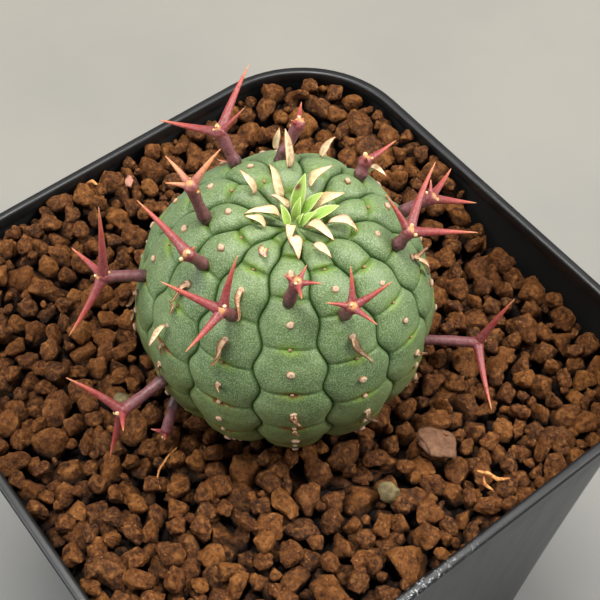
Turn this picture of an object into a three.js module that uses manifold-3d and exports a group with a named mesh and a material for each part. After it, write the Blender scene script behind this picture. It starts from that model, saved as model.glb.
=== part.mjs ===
// A globe-shaped, thirteen-ribbed euphorbia in a square nursery pot of loose clay grains.
// Millimetres, +Z up. The origin is the middle of the pot's underside, and the pot's
// sides lie along X and Y.
import * as THREE from "three";
import { mergeVertices } from "three/addons/utils/BufferGeometryUtils.js";
import Module from "manifold-3d";

const wasm = await Module();
wasm.setup();

// ---- driving dimensions -------------------------------------------------------------

const POT = {
  height: 80,
  rimHalf: 45,
  baseHalf: 38,
  rimCorner: 20,
  baseCorner: 14,
  wall: 1.2,
  rimWall: 1.6,
  rimDepth: 3,
  floorUnder: 2.5,
  floorTop: 4.2,
  footWidth: 5,
  footSlot: 6,
  drainRadius: 4,
  drainSpacing: 18,
};

const SOIL = {
  level: 75.4,        // mean height of the grains' tops
  fallPerY: 0.06,     // the surface falls towards the +Y wall
  bank: 3.2,          // rise of the grains banked against the -X wall
  heap: 6.3,          // rise of the grains heaped against the +Y wall, on its -X side
  highest: 78.9,
  lump: 1.0,          // how far one grain stands above or below the mean
  cells: 27,          // grains across the pot
};

const PLANT = {
  centre: [2.2, 1.6, 89],
  lean: 7.2,          // degrees from upright
  leanTowards: 75,    // degrees from +X
  radius: 21.3,
  halfHeight: 21.5,
  crownDip: 4.9,      // how far the growing tip is sunk
  crownWidth: 6.5,
  underTaper: 0.14,
  neckLatitude: -74,
  rootTip: 34,        // how far below the centre the taproot ends
  rootRadius: 1.2,
};

// Thirteen ribs carry tubercles on one spiral with a 5/13 turn between neighbours.
const RIBS = 13;
const RIB_STEP = 360 / RIBS;
const FIRST_RIB = -37.5;    // bearing of rib 0 in degrees from +X, at the twist's latitude
const RIB_TWIST = -0.136;   // degrees of bearing for each degree of latitude
const TWIST_LATITUDE = 30;
const ROW_STEP = 17.8;      // degrees of latitude from one tubercle to the next on a rib
const FIRST_ROW = 44.3;     // latitude of row 0 on rib 0
const WAVE = 1.7;           // degrees that a furrow swings as it passes the tubercles
const FURROW = { crown: 0.8, side: 1.5, under: 2.4 };
const GROOVE = 0.45;

const GAP = 0.35;           // clearance that touching pieces keep

// ---- the lattice of ribs and tubercles ------------------------------------------------

const radians = THREE.MathUtils.degToRad;
const clamp = THREE.MathUtils.clamp;

function rowPhase(rib) {
  const turned = (((8 * rib) % RIBS) + RIBS) % RIBS;
  return turned / RIBS;
}

function rowLatitude(rib, row) {
  return FIRST_ROW - ROW_STEP * (row - rowPhase(rib));
}

function rowAt(rib, latitude) {
  return (FIRST_ROW - latitude) / ROW_STEP + rowPhase(rib);
}

function ribBearing(rib, latitude) {
  return FIRST_RIB + rib * RIB_STEP + RIB_TWIST * (latitude - TWIST_LATITUDE);
}

// The furrow between a rib and the next one, which bulges round each tubercle.
function furrowBearing(rib, latitude) {
  const here = Math.cos(2 * Math.PI * rowAt(rib, latitude));
  const next = Math.cos(2 * Math.PI * rowAt(rib + 1, latitude));
  const middle = ribBearing(rib + 0.5, latitude);
  return middle + WAVE * (here - next) * 0.5;
}

// Smooth outline of the globe: distance from its axis and height, by latitude.
function globeOutline(latitude) {
  const angle = radians(latitude);
  const under = Math.max(0, -Math.sin(angle));
  const radius = PLANT.radius * Math.cos(angle) * (1 - PLANT.underTaper * under * under);
  const dip = PLANT.crownDip * Math.exp(-((radius / PLANT.crownWidth) ** 2));
  const height = PLANT.halfHeight * Math.sin(angle) - (latitude > 0 ? dip : 0);
  return new THREE.Vector2(radius, height);
}

function furrowDepth(latitude) {
  const up = clamp((latitude - 40) / 40, 0, 1);
  const down = clamp(-latitude / 30, 0, 1);
  const side = FURROW.side + (FURROW.crown - FURROW.side) * up;
  return side + (FURROW.under - FURROW.side) * down;
}

// How far the skin lies inside the smooth outline. across is 0 on the crest of a rib
// and 1 in its furrow; row counts tubercles, with grooves half-way between them.
function skinDepth(across, row, latitude) {
  const fade = clamp((88 - latitude) / 14, 0, 1) * clamp((latitude + 70) / 25, 0, 1);
  const furrow = 1 - (1 - Math.abs(across) ** 2.3) ** 0.55;
  const offCentre = 2 * Math.abs(row - Math.round(row));
  const groove = 1 - (1 - offCentre ** 5) ** 0.5;
  return fade * (furrowDepth(latitude) * furrow + GROOVE * groove * (1 - across * across));
}

function outlinePoint(bearing, latitude, inward = 0) {
  const outline = globeOutline(latitude);
  const angle = radians(bearing);
  const radius = outline.x - inward * Math.cos(radians(latitude));
  const height = outline.y - inward * Math.sin(radians(latitude));
  return new THREE.Vector3(radius * Math.cos(angle), radius * Math.sin(angle), height);
}

// Frame on the skin: out of the plant, up the rib, and round the plant.
function skinFrame(rib, row) {
  const latitude = rowLatitude(rib, row);
  const bearing = ribBearing(rib, latitude);
  const above = globeOutline(latitude + 1);
  const below = globeOutline(latitude - 1);
  const angle = radians(bearing);
  const outward = new THREE.Vector3(Math.cos(angle), Math.sin(angle), 0);
  const up = outward.clone().multiplyScalar(above.x - below.x);
  up.z = above.y - below.y;
  up.normalize();
  const round = new THREE.Vector3(-Math.sin(angle), Math.cos(angle), 0);
  const out = new THREE.Vector3().crossVectors(round, up);
  return { origin: outlinePoint(bearing, latitude), out, up, round, bearing };
}

// ---- solids and meshes ------------------------------------------------------------------

function weld(geometry) {
  const bare = geometry.index ? geometry.clone() : geometry;
  bare.deleteAttribute("normal");
  bare.deleteAttribute("uv");
  return mergeVertices(bare, 1e-4);
}

function solid(geometry, matrix = new THREE.Matrix4()) {
  const welded = weld(geometry).applyMatrix4(matrix);
  return new wasm.Manifold(new wasm.Mesh({
    numProp: 3,
    vertProperties: new Float32Array(welded.attributes.position.array),
    triVerts: new Uint32Array(welded.index.array),
  }));
}

function geometryOf(manifold) {
  const mesh = manifold.getMesh();
  const geometry = new THREE.BufferGeometry();
  geometry.setAttribute("position", new THREE.BufferAttribute(mesh.vertProperties, 3));
  geometry.setIndex(new THREE.BufferAttribute(mesh.triVerts, 1));
  return geometry;
}

function reshape(geometry, place) {
  const position = geometry.attributes.position;
  const point = new THREE.Vector3();
  for (let i = 0; i < position.count; i += 1) {
    point.fromBufferAttribute(position, i);
    place(point, geometry.attributes.uv ? geometry.attributes.uv.getX(i) : 0);
    position.setXYZ(i, point.x, point.y, point.z);
  }
  return geometry;
}

function named(name, geometry, material) {
  const welded = weld(geometry);
  welded.computeVertexNormals();
  const mesh = new THREE.Mesh(welded, material);
  mesh.name = name;
  return mesh;
}

// A rod from one point to another that narrows from one radius to the other.
function rod(from, to, startRadius, endRadius, sides) {
  const along = new THREE.Vector3().subVectors(to, from);
  const shape = new THREE.CylinderGeometry(endRadius, startRadius, along.length(), sides);
  const turn = new THREE.Quaternion().setFromUnitVectors(
    new THREE.Vector3(0, 1, 0), along.clone().normalize());
  const middle = from.clone().addScaledVector(along, 0.5);
  const matrix = new THREE.Matrix4().compose(middle, turn, new THREE.Vector3(1, 1, 1));
  return solid(shape, matrix);
}

function knob(centre, radius) {
  const shape = new THREE.IcosahedronGeometry(radius, 0);
  return solid(shape, new THREE.Matrix4().setPosition(centre));
}

// Repeatable scatter from -1 to 1 for a pair of whole numbers.
function scatter(i, j) {
  const value = Math.sin(i * 127.1 + j * 311.7) * 43758.5453;
  return 2 * (value - Math.floor(value)) - 1;
}

// ---- square, round-cornered forms made by turning an outline ------------------------------

const CORNER_STEPS = 8;
const FLAT_STEPS = 4;
const SQUARE_STEPS = 4 * (CORNER_STEPS + FLAT_STEPS);

// Direction and reach of a step round a rounded square of the given size.
function squarePoint(step, half, corner) {
  const perSide = CORNER_STEPS + FLAT_STEPS;
  const side = Math.floor(step / perSide);
  const within = step - side * perSide - FLAT_STEPS / 2;
  const start = side * 90;
  const turn = clamp(within / CORNER_STEPS, 0, 1) * 90;
  const flat = within < 0 ? within : Math.max(0, within - CORNER_STEPS);
  const slide = flat * (2 * (half - corner)) / FLAT_STEPS;
  const local = new THREE.Vector2(
    half - corner + corner * Math.cos(radians(turn)),
    half - corner + corner * Math.sin(radians(turn)));
  if (within < 0) {
    local.y += slide;
  } else {
    local.x -= slide;
  }
  return local.rotateAround(new THREE.Vector2(), radians(start));
}

function cornerAt(half) {
  const share = (half - POT.baseHalf) / (POT.rimHalf - POT.baseHalf);
  const corner = POT.baseCorner + (POT.rimCorner - POT.baseCorner) * share;
  return Math.min(corner, Math.max(half, 0));
}

// outline is a list of [half width, height] pairs that starts and ends on the axis.
function squareTurned(outline) {
  const points = outline.map(([half, height]) => new THREE.Vector2(half, height));
  const shape = new THREE.LatheGeometry(points, SQUARE_STEPS);
  return reshape(shape, (point, along) => {
    const half = Math.hypot(point.x, point.z);
    const height = point.y;
    const step = Math.round(along * SQUARE_STEPS) % SQUARE_STEPS;
    const at = half < 1e-6 ? new THREE.Vector2() : squarePoint(step, half, cornerAt(half));
    point.set(at.x, at.y, height);
  });
}

function outerHalf(height) {
  return POT.baseHalf + (POT.rimHalf - POT.baseHalf) * height / POT.height;
}

function innerHalf(height) {
  const nearRim = height > POT.height - POT.rimDepth;
  return outerHalf(height) - (nearRim ? POT.rimWall : POT.wall);
}

// ---- the pot -------------------------------------------------------------------------------

function potGeometry() {
  const top = POT.height;
  const shell = squareTurned([
    [0, POT.floorUnder],
    [outerHalf(0) - POT.footWidth, POT.floorUnder],
    [outerHalf(0) - POT.footWidth, 0],
    [outerHalf(0) - 0.8, 0],
    [outerHalf(0.8), 0.8],
    [outerHalf(top - 0.5), top - 0.5],
    [outerHalf(top) - 0.4, top],
    [innerHalf(top) + 0.3, top],
    [innerHalf(top), top - 0.3],
    [innerHalf(top), top - POT.rimDepth],
    [innerHalf(top - POT.rimDepth - 0.5), top - POT.rimDepth - 0.5],
    [innerHalf(POT.floorTop + 2), POT.floorTop + 2],
    [innerHalf(POT.floorTop) - 2, POT.floorTop],
    [0, POT.floorTop],
  ]);
  let pot = solid(shell);
  const across = 2 * POT.rimHalf;
  for (const size of [[across, POT.footSlot], [POT.footSlot, across]]) {
    const slot = new THREE.BoxGeometry(size[0], size[1], 3);
    pot = pot.subtract(solid(slot, new THREE.Matrix4().setPosition(0, 0, 0)));
  }
  for (const x of [-1, 0, 1]) {
    for (const y of [-1, 0, 1]) {
      const drill = new THREE.CylinderGeometry(POT.drainRadius, POT.drainRadius, 12, 12);
      drill.rotateX(Math.PI / 2);
      const place = new THREE.Matrix4().setPosition(x * POT.drainSpacing, y * POT.drainSpacing, 3);
      pot = pot.subtract(solid(drill, place));
    }
  }
  return geometryOf(pot);
}

// ---- the soil --------------------------------------------------------------------------------

function soilHeight(x, y) {
  const bank = SOIL.bank * THREE.MathUtils.smoothstep(-x, 26, 42);
  const reach = Math.exp(-(((46 - y) / 15) ** 2));
  const heap = SOIL.heap * reach * THREE.MathUtils.smoothstep(-x, -4, 10);
  return Math.min(SOIL.highest, SOIL.level - SOIL.fallPerY * y + bank + heap);
}

// Everything above the grains, with a lumpy underside.
function airAboveSoil() {
  const width = 2 * POT.rimHalf;
  const depth = 30;
  const shape = new THREE.BoxGeometry(width, width, depth, SOIL.cells, SOIL.cells, 1);
  const cell = width / SOIL.cells;
  return reshape(shape, (point) => {
    if (point.z > 0) {
      point.z = SOIL.level + depth;
      return;
    }
    const i = Math.round(point.x / cell);
    const j = Math.round(point.y / cell);
    const edge = Math.max(Math.abs(point.x), Math.abs(point.y)) > POT.rimHalf - 1;
    const lump = edge ? 0 : SOIL.lump * scatter(i, j);
    point.z = soilHeight(point.x, point.y) + lump;
  });
}

// The hole that the globe and its root stand in.
function socket() {
  const points = [new THREE.Vector2(0, -PLANT.rootTip - 1)];
  points.push(new THREE.Vector2(PLANT.rootRadius + GAP, -PLANT.rootTip - 1));
  for (let latitude = PLANT.neckLatitude; latitude <= 30; latitude += 8) {
    const outline = globeOutline(latitude);
    points.push(new THREE.Vector2(outline.x + GAP + 0.15, outline.y - GAP));
  }
  points.push(new THREE.Vector2(0, points[points.length - 1].y));
  const shape = new THREE.LatheGeometry(points, 40);
  shape.rotateX(Math.PI / 2);
  return shape;
}

function soilGeometry(plantMatrix) {
  const low = POT.floorTop + GAP;
  const chamfer = 2.5;
  const block = squareTurned([
    [0, low],
    [innerHalf(low) - chamfer - GAP, low],
    [innerHalf(low + chamfer) - GAP, low + chamfer],
    [innerHalf(POT.height) - GAP - 0.25, POT.height],
    [0, POT.height],
  ]);
  const soil = solid(block).subtract(solid(airAboveSoil()));
  return geometryOf(soil.subtract(solid(socket(), plantMatrix)));
}

// ---- the stem: globe, neck and taproot ------------------------------------------------------

const STEPS_PER_RIB = 6;
const GLOBE_ROWS = 31;
const ROOT_ROWS = 3;

function stemPoint(around, down) {
  const rib = Math.floor(around / STEPS_PER_RIB);
  const share = (around - rib * STEPS_PER_RIB) / STEPS_PER_RIB;
  if (down > GLOBE_ROWS) {
    const taper = (down - GLOBE_ROWS) / ROOT_ROWS;
    const neck = globeOutline(PLANT.neckLatitude);
    const bearing = radians(ribBearing(rib - 0.5 + share, PLANT.neckLatitude));
    const radius = (neck.x + (PLANT.rootRadius - neck.x) * taper ** 0.6) * (down < GLOBE_ROWS + ROOT_ROWS);
    const height = neck.y + (-PLANT.rootTip - neck.y) * taper;
    return new THREE.Vector3(radius * Math.cos(bearing), radius * Math.sin(bearing), height);
  }
  const latitude = 90 + (PLANT.neckLatitude - 90) * down / GLOBE_ROWS;
  const left = furrowBearing(rib - 1, latitude);
  const right = furrowBearing(rib, latitude);
  const depth = skinDepth(2 * share - 1, rowAt(rib, latitude), latitude);
  return outlinePoint(left + (right - left) * share, latitude, depth);
}

function stemGeometry() {
  const around = RIBS * STEPS_PER_RIB;
  const down = GLOBE_ROWS + ROOT_ROWS;
  const shape = new THREE.SphereGeometry(1, around, down);
  const uv = shape.attributes.uv;
  const position = shape.attributes.position;
  for (let i = 0; i < position.count; i += 1) {
    const row = Math.round((1 - uv.getY(i)) * down);
    const onAxis = row === 0 || row === down;
    const step = onAxis ? 0 : Math.round(uv.getX(i) * around) % around;
    const point = stemPoint(step, row);
    position.setXYZ(i, point.x, point.y, point.z);
  }
  return shape;
}

// ---- spines: woody flower stalks that end in thorns -------------------------------------------

// rib and row place the eye that the stalk grows from. lean is [bearing, degrees] from
// straight out, with bearing 0 up the rib and 90 round the plant. Each thorn is
// [bearing, degrees from the stalk, length].
const SPINES = [
  { rib: -6, row: -0.5, stalk: 4.4, lean: [-70, 26],
    thorns: [[-175, 65, 4.2], [-147, 65, 1.8], [50, 67, 2.3]] },
  { rib: -5, row: 0.5, stalk: 4.5, lean: [87, 10],
    thorns: [[-104, 66, 11], [149, 63, 9], [-44, 67, 5]] },
  { rib: -3, row: -0.5, stalk: 5.8, lean: [-12, 13],
    thorns: [[-126, 65, 5.3], [178, 65, 3.3], [-33, 65, 6]] },
  { rib: -2, row: 0.5, stalk: 4, lean: [5, 10], thorns: [[-96, 65, 9.3], [8, 65, 1.4]] },
  { rib: -3, row: 1.5, stalk: 5.2, lean: [127, 10],
    thorns: [[-18, 78, 11], [-106, 65, 7], [144, 64, 9.4]] },
  { rib: -1, row: 0.5, stalk: 4.4, lean: [-10, 14],
    thorns: [[-92, 65, 8.2], [-3, 65, 7.6], [-175, 65, 7]] },
  { rib: 0, row: -0.5, stalk: 3.7, lean: [17, 32],
    thorns: [[-75, 65, 2.3], [24, 65, 2.6], [100, 65, 3.1], [178, 66, 3.4]] },
  { rib: 1, row: 0.5, stalk: 3.9, lean: [-15, 23],
    thorns: [[12, 65, 5], [-74, 65, 3.9], [79, 65, 5.8], [154, 65, 4.3]] },
  { rib: 3, row: 0.5, stalk: 2.6, lean: [19, 21],
    thorns: [[18, 62, 6], [97, 64, 10.8], [177, 65, 8.9]] },
  { rib: 4, row: 0.5, stalk: 4, lean: [-117, 11],
    thorns: [[125, 63, 7], [172, 65, 9.2], [76, 63, 2.6]] },
  { rib: 5, row: -0.5, stalk: 2, lean: [33, 9], thorns: [[-177, 64, 6], [-20, 55, 2.2]] },
  { rib: 3, row: 4.5, stalk: 9.5, lean: [0, 27], thorns: [[16, 63, 9.3], [-101, 82, 11]] },
  { rib: -2, row: 3.5, stalk: 6.7, lean: [115, 5],
    thorns: [[-45, 67, 9.2], [176, 64, 9], [58, 61, 4.6]] },
  { rib: -2, row: 4.5, stalk: 3.8, lean: [143, 32], thorns: [[-107, 69, 3], [34, 65, 1.9]] },
  { rib: -6, row: 2.5, stalk: 3.2, lean: [180, 15],
    thorns: [[-80, 65, 4], [70, 65, 3.5], [180, 60, 3]] },
  { rib: 6, row: 3.5, stalk: 5, lean: [0, 5], thorns: [[-70, 65, 6], [60, 70, 5.5], [175, 60, 4]] },
  { rib: 5, row: 3.5, stalk: 4.5, lean: [0, 10], thorns: [[-95, 65, 5], [40, 65, 4.5]] },
];

const STALK_RADIUS = 0.9;
const THORN_RADIUS = 0.55;
const THORN_TIP = 0.12;

function tilted(out, up, round, bearing, tilt) {
  const side = up.clone().multiplyScalar(Math.cos(radians(bearing)));
  side.addScaledVector(round, Math.sin(radians(bearing)));
  const direction = out.clone().multiplyScalar(Math.cos(radians(tilt)));
  return direction.addScaledVector(side, Math.sin(radians(tilt))).normalize();
}

function spineGeometry({ rib, row, stalk, lean, thorns }) {
  const { origin, out, up, round } = skinFrame(rib, row);
  const foot = origin.clone().addScaledVector(out, GAP + STALK_RADIUS * Math.sin(radians(lean[1])));
  const along = tilted(out, up, round, lean[0], lean[1]);
  const fork = foot.clone().addScaledVector(along, stalk);
  const upSide = up.clone().addScaledVector(along, -up.dot(along)).normalize();
  const roundSide = new THREE.Vector3().crossVectors(upSide, along);
  let spine = rod(foot, fork, STALK_RADIUS, STALK_RADIUS * 0.8, 7);
  spine = spine.add(knob(fork, STALK_RADIUS));
  for (const [bearing, tilt, length] of thorns) {
    const direction = tilted(along, upSide, roundSide, bearing, tilt);
    const tip = fork.clone().addScaledVector(direction, length);
    const start = Math.min(THORN_RADIUS, 0.2 + length * 0.1);
    spine = spine.add(rod(fork, tip, start, THORN_TIP, 5));
  }
  return geometryOf(spine);
}

// ---- leaves ---------------------------------------------------------------------------------

// A folded, pointed blade. Its arch lifts the middle of the blade above the straight
// line from base to tip.
function leafGeometry({ length, width, arch, thickness }) {
  const shape = new THREE.SphereGeometry(1, 8, 6);
  return reshape(shape, (point) => {
    const along = (1 - point.y) / 2;
    const spread = Math.sin(Math.PI * along ** 0.8) ** 0.8 * 0.85 + 0.15 * (1 - along);
    const reach = Math.hypot(point.x, point.z);
    const across = reach < 1e-6 ? 0 : point.x / reach;
    const through = reach < 1e-6 ? 0 : point.z / reach;
    const half = reach < 1e-6 ? 0 : spread * width / 2;
    const fold = 0.35 * Math.abs(across) * half;
    const rise = 4 * arch * along * (1 - along);
    point.set(along * length, across * half, rise + fold + through * thickness / 2);
  });
}

// Turns a blade that lies along +X so that it points at a bearing and rises by a slope.
function leafMatrix(base, bearing, slope) {
  const matrix = new THREE.Matrix4().makeRotationZ(radians(bearing));
  matrix.multiply(new THREE.Matrix4().makeRotationY(-radians(slope)));
  matrix.setPosition(base);
  return matrix;
}

// Leaves of the growing tip: where the base stands as a bearing from rib 0 and a reach
// from the axis, then where the blade points.
const GREEN_LEAVES = [
  { base: [183, 1.7], bearing: 162, slope: 61, length: 5.1, width: 2.1 },
  { base: [183, 0.7], bearing: 165, slope: 67, length: 2.9, width: 1.4 },
  { base: [139, 1.7], bearing: 123, slope: 50, length: 3.7, width: 1.8 },
  { base: [95, 2.1], bearing: 104, slope: 33, length: 4, width: 1.9 },
  { base: [65, 1.1], bearing: 114, slope: 51, length: 2.5, width: 1.3 },
  { base: [80, 0.35], bearing: 126, slope: 72, length: 1.6, width: 0.9 },
  { base: [-60, 1.4], bearing: -137, slope: 62, length: 2.9, width: 1.5 },
];

const DRY_CROWN_LEAF = { base: [-147, 2.3], bearing: -94, slope: 47, length: 3.1, width: 1.4 };

// Dried leaves that still cling to their tubercles. turn is how far the blade points
// away from straight out of the plant's axis.
const DRY_LEAVES = [
  { rib: -1, row: -2, turn: 29, slope: 13, length: 3.2, width: 1.6, arch: 0.4 },
  { rib: 2, row: -2, turn: 5, slope: 15, length: 4.3, width: 1.7, arch: 0.8 },
  { rib: -3, row: -2, turn: 6, slope: 14, length: 4.5, width: 1.7, arch: 1.2 },
  { rib: 5, row: -2, turn: -22, slope: 28, length: 4.6, width: 1.7, arch: 0.4 },
  { rib: 0, row: -2, turn: 16, slope: 12, length: 4.2, width: 1.8, arch: 0.3 },
  { rib: -5, row: -1, turn: -3, slope: 51, length: 4.5, width: 1.6, arch: 0.4 },
  { rib: 3, row: -1, turn: -9, slope: 10, length: 3.9, width: 1.5, arch: 1.0 },
  { rib: -2, row: -1, turn: -53, slope: 14, length: 2.7, width: 1.2, arch: 0.6 },
  { rib: 6, row: -1, turn: -38, slope: 41, length: 3.8, width: 1.5, arch: 0.4 },
  { rib: 1, row: -1, turn: 27, slope: 8, length: 2.8, width: 1.3, arch: 0.5 },
  { rib: -4, row: -1, turn: -11, slope: 51, length: 3.5, width: 1.2, arch: 0.3 },
  { rib: -6, row: -1, turn: 10, slope: 62, length: 5.1, width: 1.4, arch: 0.2 },
  { rib: 6, row: 0, turn: -36, slope: 59, length: 3.2, width: 1.4, arch: 0.2 },
  { rib: -6, row: 0, turn: -20, slope: 65, length: 2.8, width: 1.2, arch: 0.2 },
  { rib: 5, row: 0, turn: -79, slope: 28, length: 2.6, width: 1.2, arch: 0.9 },
  { rib: 3, row: 1, turn: 15, slope: -57, length: 4.5, width: 1.0, arch: 0.3 },
  { rib: -2, row: 2, turn: -5, slope: -50, length: 3.8, width: 1.0, arch: 0.3 },
];

const LEAF_THICKNESS = 0.5;

function crownLeaf(leaf) {
  const [bearing, reach] = leaf.base;
  const angle = radians(FIRST_RIB + bearing);
  const latitude = THREE.MathUtils.radToDeg(Math.acos(reach / PLANT.radius));
  const lift = globeOutline(latitude).y + GAP + leaf.width * 0.3;
  const base = new THREE.Vector3(reach * Math.cos(angle), reach * Math.sin(angle), lift);
  const blade = leafGeometry({ ...leaf, arch: 0.25, thickness: LEAF_THICKNESS });
  return blade.applyMatrix4(leafMatrix(base, FIRST_RIB + leaf.bearing, leaf.slope));
}

function dryLeaf(leaf) {
  const { origin, out, bearing } = skinFrame(leaf.rib, leaf.row);
  const base = origin.clone().addScaledVector(out, GAP + LEAF_THICKNESS * 0.5);
  const blade = leafGeometry({ ...leaf, thickness: LEAF_THICKNESS });
  return blade.applyMatrix4(leafMatrix(base, bearing + leaf.turn, leaf.slope));
}

// ---- assembly ---------------------------------------------------------------------------------

function finish(color, roughness) {
  return new THREE.MeshStandardMaterial({ color, roughness, metalness: 0 });
}

const potPlastic = finish(0x1b1c1d, 0.42);
const clayGrain = finish(0x7c4a2a, 0.95);
const skin = finish(0x5f8360, 0.6);
const thornWood = finish(0x7a3038, 0.55);
const leafGreen = finish(0x9cc257, 0.5);
const leafDry = finish(0xd2ae7c, 0.8);

function twoDigits(number) {
  return String(number).padStart(2, "0");
}

const group = new THREE.Group();
const plant = new THREE.Group();
const leanAngle = radians(PLANT.lean);
const leanBearing = radians(PLANT.leanTowards);
const axis = new THREE.Vector3(
  Math.sin(leanAngle) * Math.cos(leanBearing),
  Math.sin(leanAngle) * Math.sin(leanBearing),
  Math.cos(leanAngle));
plant.quaternion.setFromUnitVectors(new THREE.Vector3(0, 0, 1), axis);
plant.position.set(...PLANT.centre);
plant.updateMatrix();

group.add(named("pot", potGeometry(), potPlastic));
group.add(named("soil", soilGeometry(plant.matrix), clayGrain));
group.add(plant);
plant.add(named("stem", stemGeometry(), skin));
SPINES.forEach((spine, i) => {
  plant.add(named(`spine_${twoDigits(i + 1)}`, spineGeometry(spine), thornWood));
});
GREEN_LEAVES.forEach((leaf, i) => {
  plant.add(named(`leaf_${twoDigits(i + 1)}`, crownLeaf(leaf), leafGreen));
});
DRY_LEAVES.forEach((leaf, i) => {
  plant.add(named(`dry_leaf_${twoDigits(i + 1)}`, dryLeaf(leaf), leafDry));
});
plant.add(named(`dry_leaf_${twoDigits(DRY_LEAVES.length + 1)}`, crownLeaf(DRY_CROWN_LEAF), leafDry));

export default group;
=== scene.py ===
# A globe-shaped, thirteen-ribbed euphorbia in a square nursery pot of loose clay grains.
# Lengths are in millimetres until a mesh is made, and every mesh is made in metres.
from math import cos, log, pi, radians, sin

import bmesh
import bpy
import numpy as np
from mathutils import Matrix, Vector, noise
from numpy.linalg import norm


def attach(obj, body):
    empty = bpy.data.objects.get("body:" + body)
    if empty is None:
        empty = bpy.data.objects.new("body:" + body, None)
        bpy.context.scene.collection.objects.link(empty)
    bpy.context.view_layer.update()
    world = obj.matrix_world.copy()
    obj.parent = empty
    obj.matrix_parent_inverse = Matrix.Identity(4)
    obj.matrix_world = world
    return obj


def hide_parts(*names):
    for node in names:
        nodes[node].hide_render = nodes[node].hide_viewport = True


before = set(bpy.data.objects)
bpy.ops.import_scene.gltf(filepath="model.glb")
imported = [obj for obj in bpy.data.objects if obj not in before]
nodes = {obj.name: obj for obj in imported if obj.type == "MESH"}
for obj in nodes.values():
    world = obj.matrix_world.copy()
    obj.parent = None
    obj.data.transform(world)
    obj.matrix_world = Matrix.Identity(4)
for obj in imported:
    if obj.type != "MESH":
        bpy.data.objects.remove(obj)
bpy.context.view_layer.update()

MM = 0.001
rng = np.random.default_rng(504)

# ---- dimensions shared with the solids ----

POT_HEIGHT = 80
RIM_HALF = 45
BASE_HALF = 38
RIM_CORNER = 20
BASE_CORNER = 14
WALL = 1.2
RIM_WALL = 1.6
RIM_DEPTH = 3
FLOOR_UNDER = 2.5
FLOOR_TOP = 4.2
FOOT_WIDTH = 5
FOOT_SLOT = 6
DRAIN_RADIUS = 4
DRAIN_SPACING = 18

SOIL_LEVEL = 75.4
SOIL_FALL = 0.06
SOIL_BANK = 3.2
SOIL_HEAP = 6.3
SOIL_HIGHEST = 78.9

CENTRE = np.array([2.2, 1.6, 89.0])
LEAN = 7.2
LEAN_TOWARDS = 75
RADIUS = 21.3
HALF_HEIGHT = 21.5
CROWN_DIP = 4.9
CROWN_WIDTH = 6.5
UNDER_TAPER = 0.14
NECK_LATITUDE = -74
ROOT_TIP = 34
ROOT_RADIUS = 1.2

RIBS = 13
RIB_STEP = 360 / RIBS
FIRST_RIB = -37.5
RIB_TWIST = -0.136
TWIST_LATITUDE = 30
ROW_STEP = 17.8
FIRST_ROW = 44.3
WAVE = 1.7

lean_angle = radians(LEAN)
lean_bearing = radians(LEAN_TOWARDS)
AXIS = Vector((sin(lean_angle) * cos(lean_bearing),
               sin(lean_angle) * sin(lean_bearing),
               cos(lean_angle)))
TURN = np.array(Vector((0, 0, 1)).rotation_difference(AXIS).to_matrix())


# ---- small helpers ----

def unit(v):
    v = np.asarray(v, float)
    return v / norm(v)


def to_pot(points):
    """From the plant's own frame to the pot's."""
    return np.asarray(points) @ TURN.T + CENTRE


def to_plant(points):
    return (np.asarray(points) - CENTRE) @ TURN


def wobble(points, scale, seed=0.0):
    """Smooth noise from about -1 to 1 at each point; scale is the size of its features."""
    shift = Vector((seed * 17.3, seed * 5.1, seed * 9.7))
    return np.array([noise.noise(Vector(p) / scale + shift) for p in np.asarray(points)])

def show(name, data):
    """Puts a mesh, lamp or camera in the scene as an object."""
    made = bpy.data.objects.new(name, data)
    bpy.context.scene.collection.objects.link(made)
    return made


class Shape:
    """Collects closed bodies for one mesh, with a value or more at each point."""

    def __init__(self):
        self.points = []
        self.faces = []
        self.values = {}
        self.count = 0

    def add(self, points, faces, **values):
        self.points.append(np.asarray(points, float))
        self.faces += [tuple(int(i) + self.count for i in f) for f in faces]
        for key, value in values.items():
            value = np.broadcast_to(np.asarray(value, float), (len(points),))
            self.values.setdefault(key, []).append(value)
        self.count += len(points)

    def build(self, name, material, slot, replaces=()):
        """Makes the mesh in metres, with its material, its body and the nodes it replaces; slot
        is not used.
        """
        mesh = bpy.data.meshes.new(name)
        mesh.from_pydata((np.concatenate(self.points) * MM).tolist(), [], self.faces)
        for key, value in self.values.items():
            attribute = mesh.attributes.new(key, "FLOAT", "POINT")
            attribute.data.foreach_set("value", np.concatenate(value).astype(np.float32))
        mesh.polygons.foreach_set("use_smooth", [True] * len(mesh.polygons))
        mesh.update()
        mesh.materials.append(material)
        made = show(name, mesh)
        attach(made, "root")
        if replaces:
            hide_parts(*replaces)
        return made


def grid_faces(rows, columns, closed):
    """Quads between rows of points; a closed row joins its last point to its first."""
    faces = []
    for r in range(rows - 1):
        for c in range(columns if closed else columns - 1):
            d = (c + 1) % columns
            faces.append((r * columns + c, r * columns + d,
                          (r + 1) * columns + d, (r + 1) * columns + c))
    return faces


def fan(centre, start, count, flip=False):
    """Triangles from one point to the closed ring of points that begins at start."""
    ring = [(start + c, start + (c + 1) % count) for c in range(count)]
    return [(centre, j, i) if flip else (centre, i, j) for i, j in ring]


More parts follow.
